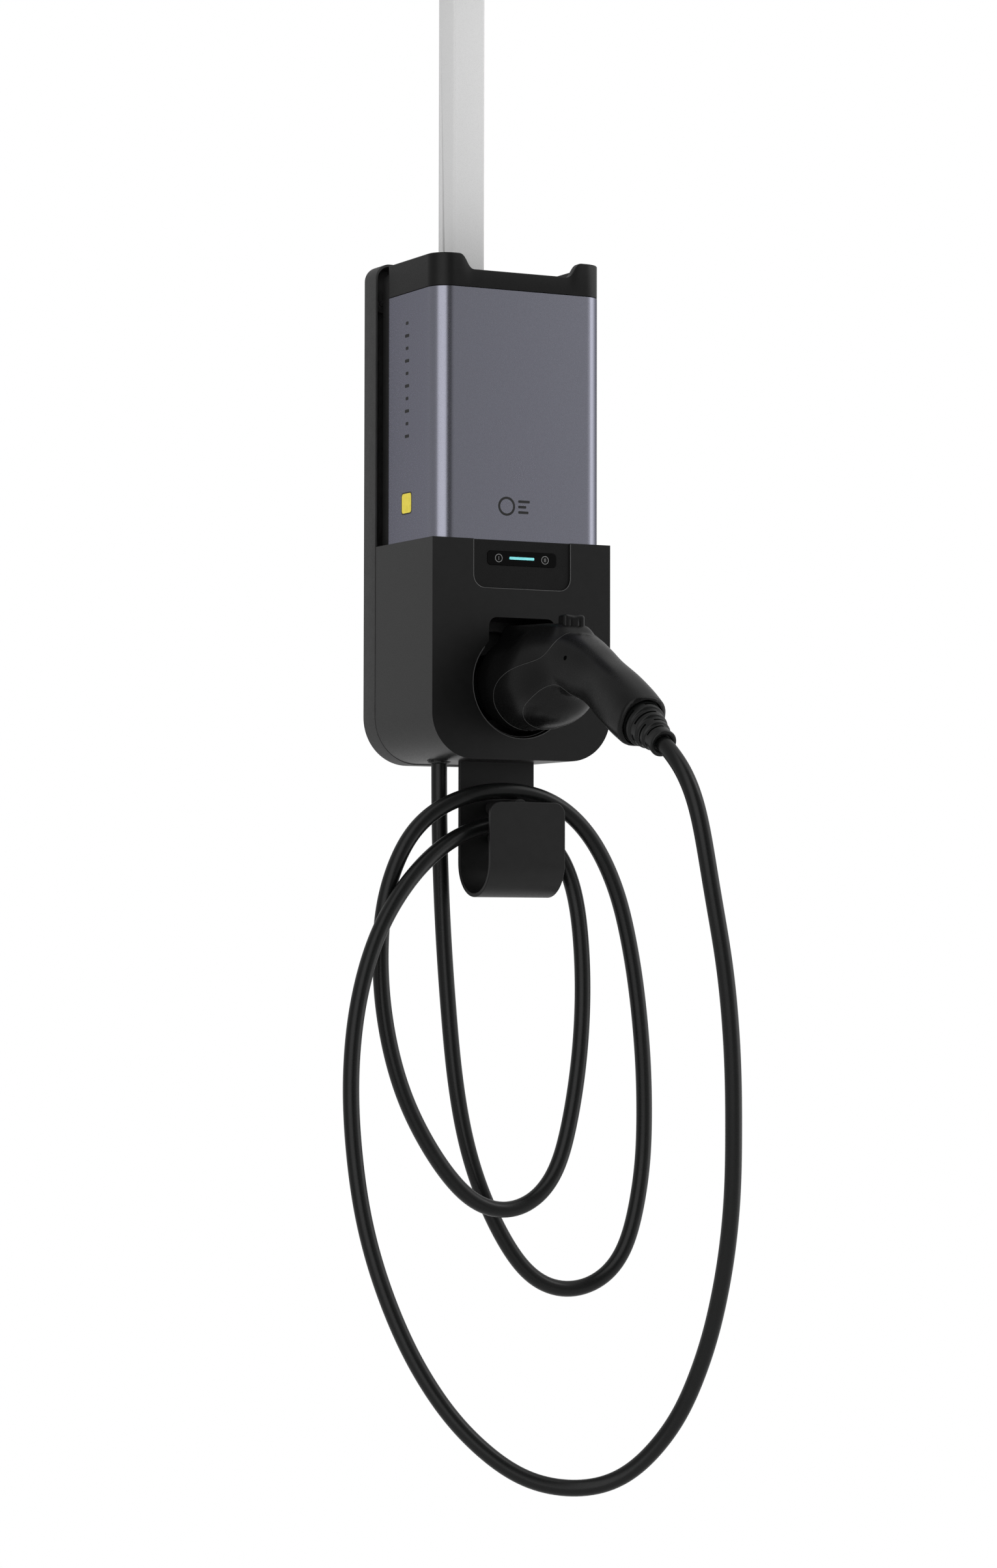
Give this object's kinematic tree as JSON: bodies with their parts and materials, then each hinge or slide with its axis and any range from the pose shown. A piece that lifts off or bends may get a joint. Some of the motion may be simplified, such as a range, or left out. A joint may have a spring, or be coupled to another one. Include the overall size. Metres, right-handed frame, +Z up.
{
  "type": "ev charging post",
  "caption": "Electric-vehicle charging unit hung on a square drop post, with a holstered gun connector and a looped charging cable on a rear hook.",
  "frame": {"origin": "centre of the post flange's top face, which fastens to a beam or canopy above and carries the whole unit", "axes": "+Z up along the post; +X to the right as a user faces the display; +Y towards the back, so the gun points along -Y"},
  "size_m": [0.3658, 0.5177, 1.5581],
  "materials": {
    "post_paint": "light grey speckled powder coat, smooth satin",
    "dark_housing": "dark grey fine-grained moulding",
    "zinc_steel": "bright zinc-plated steel",
    "black_frame": "plain black moulding",
    "satin_aluminium": "satin anodised aluminium, grey with a lilac cast",
    "cap_black": "matt black moulding",
    "cover_black": "black moulding, satin",
    "textured_black": "black moulding with a pebbled texture",
    "gloss_strip": "polished black",
    "led_cyan": "diffusing cyan light bar",
    "circuit_board": "green solder resist",
    "device_plastic": "light grey device housing",
    "hook_black": "black powder coat",
    "peg_rubber": "black rubber sleeve",
    "cable_rubber": "black rubber sheath, satin",
    "gun_black": "black satin moulding",
    "gun_grip": "black fine-textured moulding, a little lighter",
    "contact_brass": "silver-plated brass, plain"
  },
  "bodies": {
    "root": {"post_tube": "post_paint", "post_flange": "post_paint", "back_housing": "dark_housing", "housing_screw_1": "zinc_steel", "housing_screw_2": "zinc_steel", "housing_screw_3": "zinc_steel", "housing_screw_4": "zinc_steel", "inner_chassis": "black_frame", "post_bracket_left": "zinc_steel", "post_bracket_right": "zinc_steel", "cross_bolt_1": "zinc_steel", "cross_bolt_2": "zinc_steel", "casing": "satin_aluminium", "top_cap": "cap_black", "lower_cover": "cover_black", "display_tray": "textured_black", "display_glass": "gloss_strip", "led_bar": "led_cyan", "display_board": "circuit_board", "holster_cup": "cover_black", "holster_ring": "black_frame", "cable_hook": "hook_black", "hook_peg_upper": "peg_rubber", "hook_peg_lower": "peg_rubber", "hook_screw_1": "zinc_steel", "hook_screw_2": "zinc_steel", "charging_cable": "cable_rubber", "cable_grommet": "cable_rubber", "gland_nut": "black_frame", "supply_cable": "cable_rubber", "din_rail": "zinc_steel", "residual_current_breaker": "device_plastic", "contactor": "device_plastic", "meter_module": "device_plastic", "main_board": "circuit_board", "terminal_block": "device_plastic"},
    "connector": {"gun_nose_shell": "gun_black", "gun_handle_shell": "gun_grip", "gun_screw": "zinc_steel", "contact_sleeve": "gun_black", "sleeve_seal": "cable_rubber", "contact_carrier": "gun_black", "pin_earth": "contact_brass", "pin_line": "contact_brass", "pin_neutral": "contact_brass", "pin_spare_left": "contact_brass", "pin_spare_right": "contact_brass", "pin_control": "contact_brass", "pin_proximity": "contact_brass", "latch_pin": "zinc_steel", "latch_spring": "zinc_steel", "handle_collar": "gun_grip", "strain_relief_boot": "cable_rubber"},
    "button": {"thumb_button": "gun_black"},
    "latch": {"latch_lever": "zinc_steel"}
  },
  "joints": [
    {"name": "connector_pull", "type": "slide", "parent": "root", "child": "connector", "axis": [0, -1, 0], "range_m": [0, 0.075], "deforming": ["charging_cable"]},
    {"name": "button_press", "type": "slide", "parent": "connector", "child": "button", "axis": [0, 0, -1], "range_m": [0, 0.004], "stiffness_N_per_m": 800, "springref_m": -0.001},
    {"name": "latch_lift", "type": "hinge", "parent": "connector", "child": "latch", "pos_m": [0, -0.164, -0.73005], "axis": [1, 0, 0], "range_deg": [0, 3.2], "deforming": ["latch_spring"]}
  ],
  "couplings": [
    {"joint": "latch_lift", "follows": "button_press", "rad_per_m": 13.33}
  ]
}
